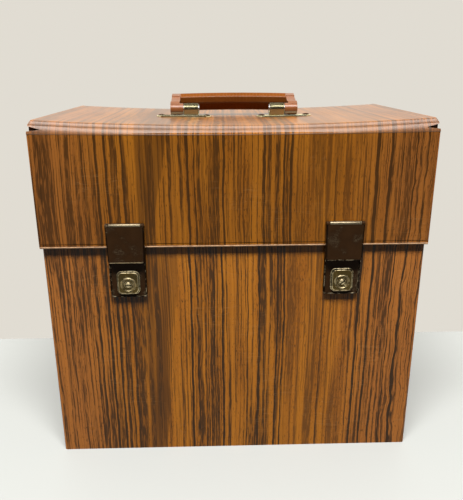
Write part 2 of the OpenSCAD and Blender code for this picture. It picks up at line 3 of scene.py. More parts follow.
import bmesh
import bpy
from mathutils import Matrix, Vector
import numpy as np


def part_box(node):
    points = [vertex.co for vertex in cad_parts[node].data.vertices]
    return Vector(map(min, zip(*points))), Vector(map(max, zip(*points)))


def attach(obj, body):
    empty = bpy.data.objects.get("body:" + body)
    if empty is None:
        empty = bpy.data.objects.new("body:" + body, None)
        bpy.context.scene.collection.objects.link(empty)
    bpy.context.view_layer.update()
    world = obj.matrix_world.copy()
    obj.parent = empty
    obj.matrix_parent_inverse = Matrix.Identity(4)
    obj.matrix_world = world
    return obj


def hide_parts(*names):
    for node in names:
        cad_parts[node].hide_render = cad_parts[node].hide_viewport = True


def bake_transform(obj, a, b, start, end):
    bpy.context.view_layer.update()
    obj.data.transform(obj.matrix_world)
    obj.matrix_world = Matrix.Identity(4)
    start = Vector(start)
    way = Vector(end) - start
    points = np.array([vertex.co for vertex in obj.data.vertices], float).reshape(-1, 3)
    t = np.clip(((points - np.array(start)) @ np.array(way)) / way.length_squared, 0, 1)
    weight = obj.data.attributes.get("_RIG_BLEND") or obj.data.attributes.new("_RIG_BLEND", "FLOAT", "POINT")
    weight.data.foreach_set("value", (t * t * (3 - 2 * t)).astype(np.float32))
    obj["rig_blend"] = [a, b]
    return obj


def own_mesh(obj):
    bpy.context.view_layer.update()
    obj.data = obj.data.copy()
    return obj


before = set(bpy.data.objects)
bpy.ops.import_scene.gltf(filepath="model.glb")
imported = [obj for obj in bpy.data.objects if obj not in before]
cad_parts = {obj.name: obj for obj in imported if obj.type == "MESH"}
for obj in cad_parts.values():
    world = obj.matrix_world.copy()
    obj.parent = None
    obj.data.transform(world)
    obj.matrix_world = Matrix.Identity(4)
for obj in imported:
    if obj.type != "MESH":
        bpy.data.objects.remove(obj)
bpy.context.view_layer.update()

# Sizes of the case, in metres

HALF_CASE = 0.1782
TOP_Z = 0.3254
SAG = 0.0054
BOW_R = (HALF_CASE**2 + SAG**2) / (2 * SAG)
BOW_ANGLE = math.asin(HALF_CASE / BOW_R)
REAR_Y = 0.103

LID_TILT = math.radians(1.1)
LID_T = 0.0046
LID_D = 0.207
LID_END = HALF_CASE - 0.0009
LID_END_SLOPE = 0.0030
LID_FRONT_CORNER = 0.0016
LID_REAR_CORNER = 0.004
EDGE_SLOPE = math.radians(54)
EDGE_R = 0.0025
EDGE_LIP = 0.0005
# Faces whose normal points forward by more than this belong to the sloping front edge
FRONT_EDGE_FACING = -0.45

FLAP_FACE = -0.107
FLAP_BACK = -0.1044
FLAP_TOP = TOP_Z + 0.208 * math.sin(LID_TILT) - 0.0056
FLAP_TOP_R = 0.0019
FLAP_LOW = 0.2205
FLAP_HALF = HALF_CASE - 0.0012
FLAP_SAG = 0.0018
FLAP_BOW_R = (HALF_CASE**2 + FLAP_SAG**2) / (2 * FLAP_SAG)
MARGIN = 0.0036
MARGIN_W = 0.0012
BEAD_R = 0.00095
BEAD_STEPS = 470

SLIT_X = HALF_CASE - 0.012
REAR_STRIP_LOW = 0.302
STRIP_LEAF = 0.017
TIGHT_X = 0.030
SLACK_RUN = 0.115
# Shares of the hinge cover's way down: where it meets the flap, and where its slits lie
COVER_FREE = 0.92
SLIT_SHARE = 0.48

LATCH_X = {"left": -0.0996, "right": 0.0996}
HASP_FACE = -0.112
HASP_LOW = 0.207
HASP_HIGH = 0.2417
HASP_PIN_Y = -0.1093
HASP_PIN_Z = 0.242
KNUCKLE_R = 0.0023
KNUCKLE_HALF = 0.0143
HASP_WEAR_AND_GLINT = {"left": 1.0, "right": 0.8}
PAN_RIM_Z = 0.1745
PAN_RIM_X = 0.0152
BUTTON_FACE = -0.109
BUTTON_STEP = -0.1073
BUTTON_RING_R = 0.0062
BUTTON_RIM_R = 0.0074
PLUG_Z = 0.1851
KEYWAY_TILT = {"left": 0, "right": -36}
KEYWAY_HALF = 0.0007
KEYWAY_DROP = 0.0004

PIVOT = Vector((0.002, -0.012, 0.3356))
HANDLE_LEAN = math.radians(13.5)
GRIP_MIDDLE = 0.0299
GRIP_HALF = 0.0556
GRIP_ARCH_R = 0.5535
GRIP_SECTION = [(-0.0084, -0.0064), (-0.0086, 0.0004), (-0.0030, 0.0098), (0.0040, 0.0099),
    (0.0066, 0.0066), (0.0066, -0.0041), (0.0040, -0.0064)]
RIVET_X = 0.0226
RIVET_R = 0.0036
RIVET_RISE = 0.0014

# Room, lamps and camera

TABLE_END = 0.148
TABLE_WIDTH = 4.0
TABLE_DEPTH = 2.4
TABLE_COLOUR = (0.292, 0.302, 0.295, 1)
WALL_COLOUR = (0.752, 0.716, 0.645, 1)
LAMP_COLOUR = (1.0, 0.985, 0.96)
LAMP_AIM = Vector((0, -0.1, 0.2))
CAMERA_PLACE = (-0.01767, -0.60437, 0.38498)
CAMERA_PITCH = math.radians(18.63)
CAMERA_YAW = math.radians(1.61)
CAMERA_ROLL = math.radians(-0.21)
# Focal length as a share of the picture's longer side
CAMERA_REACH = 572.3 / 500.0


def bow(x, radius=BOW_R):
    """How much higher an edge bowed to that radius lies at x than at its middle."""
    return radius - math.sqrt(radius**2 - x * x)


def arc(width, height, start, end, step):
    """Points on a quarter of an oval, from one angle to another in degrees."""
    angles = [math.radians(a) for a in range(start, end, step)]
    return [(width * math.cos(a), height * math.sin(a)) for a in angles]


# Shader building

FLOAT = "NodeSocketFloat"
COLOUR = "NodeSocketColor"


def connect(tree, value, socket):
    """Links a node's output to the socket, or sets the socket to a plain value."""
    if isinstance(value, bpy.types.NodeSocket):
        tree.links.new(value, socket)
    else:
        socket.default_value = value


def node(tree, kind, inputs=None, **settings):
    made = tree.nodes.new(kind)
    for name, value in settings.items():
        setattr(made, name, value)
    for name, value in (inputs or {}).items():
        connect(tree, value, made.inputs[name])
    return made


def calc(tree, operation, first, second=0.0, third=0.0):
    sockets = {0: first, 1: second, 2: third}
    return node(tree, "ShaderNodeMath", sockets, operation=operation).outputs[0]


def chain(tree, operation, values):
    result = values[0]
    for value in values[1:]:
        result = calc(tree, operation, result, value)
    return result


def total(tree, *values):
    return chain(tree, "ADD", values)


def product(tree, *values):
    return chain(tree, "MULTIPLY", values)


def highest(tree, *values):
    return chain(tree, "MAXIMUM", values)


def offset(tree, value, reach):
    """Turns a noise value into an offset of up to half the reach to either side."""
    return calc(tree, "MULTIPLY_ADD", value, reach, -reach / 2)


def noise(tree, vector, scale=1.0, detail=2.0, roughness=0.5):
    sockets = {"Vector": vector, "Scale": scale, "Detail": detail, "Roughness": roughness}
    return node(tree, "ShaderNodeTexNoise", sockets).outputs["Fac"]


def between(tree, value, low, high, start=0.0, end=1.0):
    """Eases value from start to end as it goes from low to high."""
    sockets = {"Value": value, "From Min": low, "From Max": high, "To Min": start, "To Max": end}
    return node(tree, "ShaderNodeMapRange", sockets, interpolation_type="SMOOTHSTEP").outputs[0]


def mixed(tree, amount, first, second, blend="MIX"):
    sockets = {0: amount, 6: first, 7: second}
    return node(tree, "ShaderNodeMix", sockets, data_type="RGBA", blend_type=blend).outputs[2]


def spread(tree, first, second, third):
    return node(tree, "ShaderNodeCombineXYZ", {0: first, 1: second, 2: third}).outputs[0]


def object_place(tree):
    return node(tree, "ShaderNodeTexCoord").outputs["Object"]


def painted(tree, name):
    """The mask of that name that is stored on the piece's points."""
    return node(tree, "ShaderNodeAttribute", attribute_name=name).outputs["Fac"]


def bump(tree, height, distance, strength=1.0, under=None):
    sockets = {"Height": height, "Distance": distance, "Strength": strength}
    if under:
        sockets["Normal"] = under
    return node(tree, "ShaderNodeBump", sockets).outputs[0]


def group(name, inputs, outputs):
    tree = bpy.data.node_groups.new(name, "ShaderNodeTree")
    for label, value in inputs:
        tree.interface.new_socket(name=label, in_out="INPUT", socket_type=FLOAT).default_value = value
    for label, kind in outputs:
        tree.interface.new_socket(name=label, in_out="OUTPUT", socket_type=kind)
    entry = tree.nodes.new("NodeGroupInput")
    leave = tree.nodes.new("NodeGroupOutput")
    return tree, entry.outputs, leave.inputs


def placed(tree, shared, **values):
    made = node(tree, "ShaderNodeGroup", node_tree=shared)
    for label, value in values.items():
        connect(tree, value, made.inputs[label.replace("_", " ")])
    return made.outputs


def material(name, roughness=0.5, metallic=0.0, coat=0.0, coat_roughness=0.1, specular=0.5):
    """A new material, its shader's sockets and its node tree, with the plain values set."""
    made = bpy.data.materials.new(name)
    made.use_nodes = True
    shader = made.node_tree.nodes["Principled BSDF"].inputs
    shader["Roughness"].default_value = roughness
    shader["Metallic"].default_value = metallic
    shader["Coat Weight"].default_value = coat
    shader["Coat Roughness"].default_value = coat_roughness
    shader["Specular IOR Level"].default_value = specular
    return made, shader, made.node_tree


# Finishes

# Dark streaks of the print: place across the board, darkness and half width, in millimetres.
# Each list covers one span of the board.
STREAK_START = -180
STREAK_SPAN = 120
STREAKS = [
    [(-170, 0.35, 2.5), (-152, 0.55, 1.1), (-137, 0.5, 1.1), (-131.5, 0.65, 1.4), (-121.5, 0.95, 2.2),
        (-113.5, 0.9, 1.8), (-108.4, 0.7, 1.1), (-103.7, 0.75, 1.1), (-98.8, 0.8, 1.5)],
    [(-41, 0.9, 2.0), (-35, 0.6, 2.2), (-24, 0.65, 1.1), (-17.5, 0.75, 1.1), (-9.2, 1.0, 1.9),
        (9.4, 0.5, 1.0), (16, 0.65, 1.1), (27, 0.62, 3.0), (45, 0.95, 1.6), (51, 0.85, 2.0)],
    [(72.5, 0.45, 0.9), (89.5, 0.5, 0.9), (112.8, 0.6, 1.2), (125.8, 0.95, 2.4), (137, 0.9, 1.9),
        (147, 0.55, 1.2), (158, 0.85, 1.5), (169, 0.6, 5.0)],
]

LIGHT_GROUND = (0.235, 0.084, 0.0075, 1)
DEEP_GROUND = (0.175, 0.058, 0.0055, 1)
THREAD_SHADE = (0.135, 0.046, 0.0058, 1)
# Painted sheen: the bluer, greyer ground towards both ends of a board
OUTER_SHEEN = (0.195, 0.068, 0.017, 1)
PRINT_DARK = (0.026, 0.0110, 0.0028, 1)
SCUFFED_PRINT = (0.5, 0.30, 0.14, 1)

# The flame figure's right edge: its place at the foot, its slope, and the figure's depth
UPPER_FLAME = (-0.0976, 0.189, 1.0)
LOWER_FLAME = (-0.0604, 0.093, 0.8)
FLAME_LEFT = -0.0875
FLAME_RIGHT = -0.052


def streak_map(tree, across):
    """The darkness of the named streaks at a place across the board."""
    parts = []
    for number, streaks in enumerate(STREAKS):
        low = STREAK_START + STREAK_SPAN * number
        share = calc(tree, "MULTIPLY_ADD", across, 1000 / STREAK_SPAN, -low / STREAK_SPAN)
        ramp = node(tree, "ShaderNodeValToRGB", {"Fac": share})
        stops = ramp.color_ramp.elements
        stops[0].color = (0, 0, 0, 1)
        stops[1].color = (0, 0, 0, 1)
        for place, dark, half in streaks:
            for shift, value in ((-half, 0.0), (0.0, dark), (half, 0.0)):
                stop = stops.new((place + shift - low) / STREAK_SPAN)
                stop.color = (value, value, value, 1)
        parts.append(ramp.outputs[0])
    return highest(tree, *parts)


def woodgrain_print():
    """The printed wood grain: wandering dark streaks, a pointed flame figure, thin lines and short pores,
    with painted light, shade and sheen laid over it.
    """
    inputs = [("Across", 0.0), ("Along", 0.0), ("Flame edge", -0.06), ("Flame slope", 0.1),
        ("Flame depth", 1.0), ("Tone", 1.0), ("Depth", 1.0)]
    tree, give, take = group("Woodgrain print", inputs, [("Color", COLOUR), ("Height", FLOAT)])
    across = give["Across"]
    along = give["Along"]

    def grain(place, width, length, layer, detail=2.0):
        """Noise stretched along the grain: about width lines per metre, and length breaks per metre."""
        spot = spread(tree, product(tree, place, width), product(tree, along, length), layer)
        return noise(tree, spot, detail=detail)

    # The grain wanders a little, and more at the right-hand end
    slow = grain(across, 9, 5, 0.4, 1.5)
    quick = grain(across, 70, 34, 3.1)
    loose = between(tree, across, 0.150, 0.164, 1.0, 3.2)
    wander = total(tree, offset(tree, slow, 0.008), product(tree, offset(tree, quick, 0.0022), loose))
    place = total(tree, across, wander)
    broad = grain(place, 75, 7, 1.3)
    threads = grain(place, 330, 2.6, 7.7, 1.5)
    hairs = grain(place, 720, 5, 2.9)
    dashes = grain(place, 900, 70, 5.5, 1.0)
    pores = grain(place, 1500, 200, 9.1, 1.0)

    # Named streaks, ragged along both edges
    streaks = streak_map(tree, place)
    ragged = total(tree, streaks, total(tree, offset(tree, threads, 0.9), offset(tree, dashes, 0.7)))
    streaks = product(tree, between(tree, ragged, 0.26, 0.50), between(tree, streaks, 0.02, 0.2))

    # The flame: a dark figure between a straight left edge and a right edge that closes downwards
    right = calc(tree, "MULTIPLY_ADD", along, give["Flame slope"], give["Flame edge"])
    right = calc(tree, "MINIMUM", right, FLAME_RIGHT)
    fringe = total(tree, offset(tree, broad, 0.016), offset(tree, threads, 0.008))
    inside_right = calc(tree, "SUBTRACT", total(tree, right, fringe), place)
    inside_right = between(tree, inside_right, -0.0005, 0.0012)
    inside_left = between(tree, total(tree, place, -FLAME_LEFT), -0.0004, 0.0006)
    fill = total(tree, product(tree, hairs, 0.7), product(tree, broad, 0.5))
    fill = between(tree, fill, 0.5, 0.72, 0.42, 0.95)
    flame = product(tree, inside_left, inside_right, fill, give["Flame depth"])

    # Thin broken lines, closer where the print is dark and fewer in a calm stretch right of the
    # middle, and short pores
    closer = offset(tree, broad, 0.2)
    lines = between(tree, total(tree, threads, closer), 0.51, 0.59, 0.0, 0.9)
    thin = between(tree, total(tree, hairs, closer), 0.50, 0.60, 0.0, 0.85)
    broken = between(tree, dashes, 0.36, 0.52, 0.35, 1.0)
    calm = product(tree, between(tree, across, 0.046, 0.058), between(tree, across, 0.108, 0.120, 1.0, 0.0))
    fewer = calc(tree, "MULTIPLY_ADD", calm, -0.35, 1.0)
    lines = product(tree, highest(tree, lines, thin), product(tree, broken, fewer))
    dots = between(tree, total(tree, pores, offset(tree, broad, 0.25)), 0.60, 0.70, 0.0, 0.7)

    dark = highest(tree, streaks, flame, lines, dots)
    ground = mixed(tree, between(tree, broad, 0.3, 0.7), LIGHT_GROUND, DEEP_GROUND)
    shade = mixed(tree, between(tree, threads, 0.40, 0.62, 0.0, 0.6), ground, THREAD_SHADE)
    # Painted sheen: the ground turns bluer and greyer towards both ends of the board
    outer_sheen = between(tree, calc(tree, "ABSOLUTE", across), 0.09, 0.16, 0.0, 0.6)
    sheened = mixed(tree, outer_sheen, shade, OUTER_SHEEN)
    # Tone scales each board's copy of the print: painted light and shade
    painted_light = spread(tree, give["Tone"], give["Tone"], give["Tone"])
    toned = mixed(tree, 1.0, sheened, painted_light, "MULTIPLY")
    # Depth below 1 pales the print's dark marks: a painted sheen
    colour = mixed(tree, product(tree, dark, give["Depth"]), toned, PRINT_DARK)
    tree.links.new(colour, take["Color"])
    tree.links.new(product(tree, dark, -1.0), take["Height"])
    return tree


def scuffs():
    """Fine random scratches and rubbed patches, as a mask."""
    inputs = [("Scale", 60.0), ("Amount", 0.5)]
    tree, give, take = group("Scuffs", inputs, [("Mask", FLOAT), ("Cloud", FLOAT)])
    place = object_place(tree)
    masks = []
    for angle, stretch in ((0.5, 14.0), (-0.9, 18.0), (1.9, 11.0)):
        rotation = (0.3 * angle, angle, 0.7 * angle)
        sockets = {"Vector": place, "Rotation": rotation, "Scale": (1.0, stretch, stretch)}
        turned = node(tree, "ShaderNodeMapping", sockets).outputs[0]
        line = noise(tree, turned, scale=give["Scale"], detail=1)
        off_line = calc(tree, "ABSOLUTE", calc(tree, "SUBTRACT", line, 0.5))
        masks.append(between(tree, off_line, 0.0, 0.012, 1.0, 0.0))
    cloud = noise(tree, place, scale=product(tree, give["Scale"], 0.6), detail=3)
    gate = between(tree, cloud, 0.52, 0.68)
    tree.links.new(product(tree, highest(tree, *masks), gate, give["Amount"]), take["Mask"])
    tree.links.new(cloud, take["Cloud"])
    return tree


def edge_wear_and_shade():
    """Edges rubbed bright, and painted shade in the inner corners, from the masks that rub_edges paints."""
    tree, give, take = group("Edge wear and painted shade", [("Amount", 1.0)], [("Mask", FLOAT), ("Painted shade", FLOAT)])
    rub = painted(tree, "rub")
    uneven = noise(tree, object_place(tree), scale=380.0, detail=3)
    edge = calc(tree, "MULTIPLY_ADD", uneven, 1.4, total(tree, rub, -0.7))
    edge = between(tree, edge, 0.62, 1.0)
    tree.links.new(product(tree, edge, rub, give["Amount"]), take["Mask"])
    # Painted shade in the inner corners, a little uneven
    painted_shade = product(tree, painted(tree, "painted_shade"), between(tree, uneven, 0.2, 0.6, 0.6, 1.0))
    tree.links.new(painted_shade, take["Painted shade"])
    return tree


GRAIN = woodgrain_print()
SCUFFS = scuffs()
WEAR_AND_SHADE = edge_wear_and_shade()


def covering(name, flame, side=False, shift=0.0, widen=1.0, painted_light=1.0, depth=1.0, specular=0.08,
        coat=0.05, roughness=0.30):
    """Semi-gloss vinyl with the woodgrain print. The grain runs up the boards and back over the top."""
    made, shader, tree = material(name, roughness, coat=coat, coat_roughness=0.32, specular=specular)
    place = object_place(tree)
    x, y, z = node(tree, "ShaderNodeSeparateXYZ", {0: place}).outputs
    across = calc(tree, "MULTIPLY_ADD", y if side else x, widen, shift)
    along = z if side else total(tree, y, z)
    edge, slope, figure = flame
    grain = placed(tree, GRAIN, Across=across, Along=along, Flame_edge=edge, Flame_slope=slope,
        Flame_depth=figure, Tone=painted_light, Depth=depth)
    marks = placed(tree, SCUFFS, Scale=22.0, Amount=0.5)
    colour = mixed(tree, product(tree, marks["Mask"], 0.22), grain["Color"], SCUFFED_PRINT)
    tree.links.new(colour, shader["Base Color"])
    waves = bump(tree, noise(tree, place, scale=9.0, detail=1), 0.0018, 0.30)
    emboss = product(tree, noise(tree, place, scale=1500.0, detail=2), 0.30)
    height = total(tree, product(tree, grain["Height"], 0.35), emboss)
    tree.links.new(bump(tree, height, 0.00006, 0.5, waves), shader["Normal"])
    uneven = between(tree, marks["Cloud"], 0.3, 0.75, roughness - 0.04, roughness + 0.06)
    tree.links.new(uneven, shader["Roughness"])
    return made


def darker(colour, share):
    """The colour at that share of its brightness."""
    return tuple(value * share for value in colour[:3]) + (1,)


def metal(name, colour, worn, roughness, wear=0.6, dull=0.25, metallic=1.0, specular=0.5, bare=1.0):
    """Plated or lacquered metal: cloudy, finely scratched, rubbed bright at its edges, and darkened in its
    inner corners as painted shade.
    """
    made, shader, tree = material(name, roughness=roughness, metallic=metallic, specular=specular)
    marks = placed(tree, SCUFFS, Scale=120.0, Amount=0.4)
    edges = placed(tree, WEAR_AND_SHADE, Amount=wear)
    base = mixed(tree, between(tree, marks["Cloud"], 0.35, 0.7), colour, darker(colour, 1 - dull))
    # Painted shade: inner corners and hollows are darkened
    base = mixed(tree, edges["Painted shade"], base, darker(colour, 0.12))
    show = highest(tree, edges["Mask"], product(tree, marks["Mask"], 0.35))
    tree.links.new(mixed(tree, show, base, worn), shader["Base Color"])
    if metallic < 1.0:
        tree.links.new(between(tree, show, 0.0, 0.6, metallic, bare), shader["Metallic"])
    uneven = between(tree, marks["Cloud"], 0.3, 0.75, roughness - 0.06, roughness + 0.1)
    tree.links.new(uneven, shader["Roughness"])
    rough = noise(tree, object_place(tree), scale=900.0, detail=3)
    tree.links.new(bump(tree, rough, 0.00006, 0.5), shader["Normal"])
    return made


def plain_finish(name, colour, deeper, roughness, scale, height, specular=0.5, coat=0.0, polish=0.0):
    """Paper, soft vinyl or moulded plastic, with a slightly uneven colour and surface. Polish is the
    gloss that use has given its edges."""
    made, shader, tree = material(name, roughness, coat=coat, coat_roughness=0.28, specular=specular)
    if polish:
        tree.links.new(product(tree, painted(tree, "rub"), polish), shader["Coat Weight"])
    place = object_place(tree)
    cloud = noise(tree, place, scale=scale, detail=4, roughness=0.6)
    tree.links.new(mixed(tree, between(tree, cloud, 0.3, 0.7), colour, deeper), shader["Base Color"])
    tree.links.new(between(tree, cloud, 0.3, 0.7, roughness - 0.05, roughness + 0.06), shader["Roughness"])
    tree.links.new(bump(tree, noise(tree, place, scale=scale * 12, detail=3), height, 0.6), shader["Normal"])
    return made


# All five are one vinyl. Tone lightens or darkens each board's copy as painted light and shade, and the lower
# depth on the top and the hinge cover paints a sheen over the print.
FLAP_COVER = covering("Woodgrain vinyl flap", UPPER_FLAME, painted_light=1.03, depth=0.9)
TOP_COVER = covering("Woodgrain vinyl top", UPPER_FLAME, painted_light=1.25, depth=0.66, specular=0.5,
    coat=0.95, roughness=0.42)
EDGE_COVER = covering("Woodgrain vinyl hinge", UPPER_FLAME, painted_light=0.76, depth=0.74, specular=0.5,
    coat=1.0, roughness=0.5)
BOX_COVER = covering("Woodgrain vinyl box", LOWER_FLAME, shift=0.0035, widen=1.035, painted_light=1.40, specular=0.17)
SIDE_COVER = covering("Woodgrain vinyl sides", LOWER_FLAME, side=True, shift=0.03, painted_light=1.38, specular=0.17)
LINING = plain_finish("Lining paper", (0.55, 0.47, 0.34, 1), (0.47, 0.39, 0.27, 1), 0.85, 30.0, 0.0001)
BINDING = plain_finish("Brown vinyl binding", (0.085, 0.034, 0.013, 1), (0.055, 0.023, 0.009, 1),
    0.42, 60.0, 0.00005)
EDGE_BEAD = plain_finish("Welded edge bead", (0.27, 0.155, 0.078, 1), (0.15, 0.080, 0.039, 1),
    0.36, 260.0, 0.00004)
# One moulded plastic in two copies: the grip's colour is painted darker than the arms' as shade
LIT_ARM_PLASTIC = plain_finish("Moulded brown plastic arms", (0.150, 0.046, 0.010, 1), (0.120, 0.036, 0.008, 1),
    0.34, 40.0, 0.00003, specular=0.7, coat=0.8)
SHADED_GRIP_PLASTIC = plain_finish("Moulded brown plastic", (0.125, 0.038, 0.0072, 1), (0.104, 0.031, 0.006, 1),
    0.28, 40.0, 0.00003, specular=0.0, polish=1.0)
# The bronze's worn colour is pale and mostly not metallic: its rubbed edges are real wear, and their
# brightness is partly a painted highlight
BRONZE = metal("Bronzed steel", (0.023, 0.0100, 0.0032, 1), (0.80, 0.66, 0.42, 1), 0.42, wear=1.0,
    dull=0.35, metallic=0.0, specular=0.06, bare=0.25)
RUBBED = metal("Rubbed bronzed steel", (0.30, 0.245, 0.16, 1), (0.50, 0.44, 0.32, 1), 0.40, wear=0.3,
    dull=0.3)
BRASS = metal("Aged brass", (0.085, 0.057, 0.018, 1), (0.74, 0.61, 0.36, 1), 0.30, wear=1.0, dull=0.45)
BRIGHT = metal("Brassed steel", (0.64, 0.57, 0.32, 1), (0.82, 0.76, 0.50, 1), 0.34, wear=0.3, dull=0.2)
PLATE = metal("Pale brassed plate", (0.62, 0.575, 0.34, 1), (0.84, 0.80, 0.58, 1), 0.38, wear=0.4,
    dull=0.15, metallic=0.35)
STEEL = metal("Plated steel", (0.48, 0.47, 0.45, 1), (0.7, 0.7, 0.68, 1), 0.32)
METALS = (BRONZE, RUBBED, BRASS, BRIGHT, PLATE, STEEL)


# Mesh building

def sharp_edges(bm, degrees=30.0, keep=None):
    limit = math.radians(degrees)
    sharp = [e for e in bm.edges if len(e.link_faces) == 2 and e.calc_face_angle(0.0) > limit]
    return [e for e in sharp if keep is None or keep(e)]


def soften(bm, width, segments=2, degrees=30.0, keep=None):
    """Rounds the edges that are sharper than that angle, or those of them that keep says."""
    bmesh.ops.bevel(bm, geom=sharp_edges(bm, degrees, keep), offset=width, offset_type="OFFSET",
        segments=segments, profile=0.5, affect="EDGES", clamp_overlap=True, material=-1)


def rub_edges(bm, ring=0.0005, full=50.0):
    """Marks how far each corner sticks out or in, with a ring of unmarked points inside every large face."""
    large = [f for f in bm.faces if f.calc_area() > 4e-6]
    bmesh.ops.inset_individual(bm, faces=large, thickness=ring, use_even_offset=True)
    rub = bm.verts.layers.float.new("rub")
    # The inward mark is the mask of painted shade in inner corners
    painted_shade = bm.verts.layers.float.new("painted_shade")
    for v in bm.verts:
        turns = [e.calc_face_angle_signed(0.0) for e in v.link_edges if len(e.link_faces) == 2]
        v[rub] = min(1.0, math.degrees(sum(t for t in turns if t > 0.05)) / full)
        v[painted_shade] = min(1.0, math.degrees(-sum(t for t in turns if t < -0.05)) / full)


def turn(bm, angle, axis, centre=(0, 0, 0)):
    bmesh.ops.rotate(bm, verts=bm.verts, cent=centre, matrix=Matrix.Rotation(angle, 3, axis))


def move(bm, distance):
    bmesh.ops.translate(bm, verts=bm.verts, vec=distance)


def block(bm, size, middle, angle=0.0):
    """A square block about its middle, turned about y by that angle."""
    made = bmesh.ops.create_cube(bm, size=1.0)["verts"]
    bmesh.ops.scale(bm, verts=made, vec=size)
    bmesh.ops.rotate(bm, verts=made, cent=(0, 0, 0), matrix=Matrix.Rotation(angle, 3, "Y"))
    bmesh.ops.translate(bm, verts=made, vec=middle)


def section_face(bm, points):
    """A flat face through the points, with its edges and corners, ready to be drawn out."""
    face = bm.faces.new([bm.verts.new(point) for point in points])
    return [face, *face.edges, *face.verts]


def draw_out(bm, parts, length, steps):
    """Draws the parts out along x over that length."""
    bmesh.ops.spin(bm, geom=parts, cent=(0, 0, 0), axis=(1, 0, 0), angle=0.0,
        dvec=(length / steps, 0, 0), steps=steps)


def turned_form(bm, place, profile, steps=40):
    """A round form turned about an axis along y. The profile lists radius and depth behind the place, and
    closes on itself."""
    x, y, z = place
    first = [bm.verts.new((x + r, y + d, z)) for r, d in profile]
    edges = [bm.edges.new(pair) for pair in zip(first, first[1:])]
    if profile[0][0] > 0:
        edges.append(bm.edges.new((first[-1], first[0])))
    bmesh.ops.spin(bm, geom=[*first, *edges], cent=place, axis=(0, 1, 0), angle=2 * math.pi, steps=steps,
        use_merge=True)
    bmesh.ops.remove_doubles(bm, verts=bm.verts, dist=0.000001)
    bmesh.ops.recalc_face_normals(bm, faces=bm.faces)


def thicken(bm, face, depth):
    """Pulls a face back along y and closes the solid."""
    made = bmesh.ops.extrude_face_region(bm, geom=[face])
    moved = [v for v in made["geom"] if isinstance(v, bmesh.types.BMVert)]
    bmesh.ops.translate(bm, verts=moved, vec=(0, depth, 0))


def joined(bm, other):
    """Adds the other mesh to this one, as a separate solid of the same piece."""
    mesh = bpy.data.meshes.new("part")
    other.to_mesh(mesh)
    other.free()
    bm.from_mesh(mesh)
    bpy.data.meshes.remove(mesh)


def piece(name, bm, body, finish, slot, *nodes, smooth=32.0):
    bmesh.ops.recalc_face_normals(bm, faces=bm.faces)
    mesh = bpy.data.meshes.new(name)
    bm.to_mesh(mesh)
    bm.free()
    for face in mesh.polygons:
        face.use_smooth = True
    mesh.set_sharp_from_angle(angle=math.radians(smooth))
    made = bpy.data.objects.new(name, mesh)
    bpy.context.scene.collection.objects.link(made)
    mesh.materials.append(finish)
    if body:
        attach(made, body)
    if nodes:
        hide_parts(*nodes)
    return made


def copy_of(node_name):
    """The solid's own shape, merged and with its flat faces whole again."""
    bm = bmesh.new()
    bm.from_mesh(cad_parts[node_name].data)
    bmesh.ops.remove_doubles(bm, verts=bm.verts, dist=0.000002)
    bmesh.ops.dissolve_limit(bm, angle_limit=math.radians(1.0), use_dissolve_boundaries=False,
        verts=bm.verts, edges=bm.edges)
    return bm


def softened(name, node_name, body, finish, slot, width=0.0002):
    """The solid's own shape with its edges rounded."""
    bm = copy_of(node_name)
    soften(bm, width, 2, 40.0)
    if finish in METALS:
        rub_edges(bm)
    return piece(name, bm, body, finish, slot, node_name)


# Top panel

def lid_section():
    """Section of the top panel in y and z: from the rear over its sloping front edge and back underneath."""
    rise = LID_T - EDGE_LIP - EDGE_R * (1 - math.cos(EDGE_SLOPE))
    flat = LID_D - EDGE_R * math.sin(EDGE_SLOPE) - rise / math.tan(EDGE_SLOPE)
    points = [(-flat * i / 16, 0.0) for i in range(17)]
    for i in range(1, 7):
        a = EDGE_SLOPE * i / 6
        points.append((-flat - EDGE_R * math.sin(a), EDGE_R * (math.cos(a) - 1)))
    points += [(-LID_D, EDGE_LIP - LID_T), (-LID_D, -LID_T), (-LID_D * 0.5, -LID_T), (0.0, -LID_T)]
    return points


def round_corner(v, corner, y_end, toward):
    """Brings a point of the top panel in to its rounded corner, seen from above."""
    dx = abs(v.co.x) - (HALF_CASE - corner)
    dy = (v.co.y - y_end) * toward
    reach = math.hypot(dx, dy)
    if dx > 0 and dy > 0 and reach > corner:
        v.co.x = math.copysign(HALF_CASE - corner + dx * corner / reach, v.co.x)
        v.co.y = y_end + toward * dy * corner / reach


def top_panel():
    """The bowed panel with its sloping front edge and ends. Its front edge has the hinge cover's finish."""
    bm = bmesh.new()
    section = section_face(bm, [(0, y, z) for y, z in lid_section()])
    centre = Vector((0, 0, BOW_R))
    turn(bm, BOW_ANGLE, "Y", centre)
    bmesh.ops.spin(bm, geom=section, cent=centre, axis=(0, 1, 0), angle=-2 * BOW_ANGLE, steps=96)
    for v in bm.verts:
        depth = bow(v.co.x) - v.co.z
        reach = HALF_CASE - LID_END_SLOPE * max(0.0, 1.0 - depth / (LID_T - EDGE_LIP))
        v.co.x = max(-reach, min(reach, v.co.x))
        round_corner(v, LID_FRONT_CORNER, -LID_D + LID_FRONT_CORNER, -1)
        round_corner(v, LID_REAR_CORNER, -LID_REAR_CORNER, 1)

    def at_ends_or_rear(e):
        return all(abs(abs(v.co.x) - HALF_CASE) < 0.005 or v.co.y > -LID_REAR_CORNER for v in e.verts)

    soften(bm, 0.0008, 3, 50.0, keep=at_ends_or_rear)
    turn(bm, -LID_TILT, "X")
    move(bm, (0, REAR_Y, TOP_Z))
    cover = piece("top_panel_cover", bm, "lid", TOP_COVER, "woodgrain_covering", "top_panel", smooth=40.0)
    # The sloping front edge takes the hinge cover's darker copy of the vinyl, as painted shade
    cover.data.materials.append(EDGE_COVER)
    for face in cover.data.polygons:
        if face.normal.y < FRONT_EDGE_FACING:
            face.material_index = 1


# Flap

def flap_top(x):
    """Height of the flap's top edge at x."""
    return FLAP_TOP + bow(x, FLAP_BOW_R)


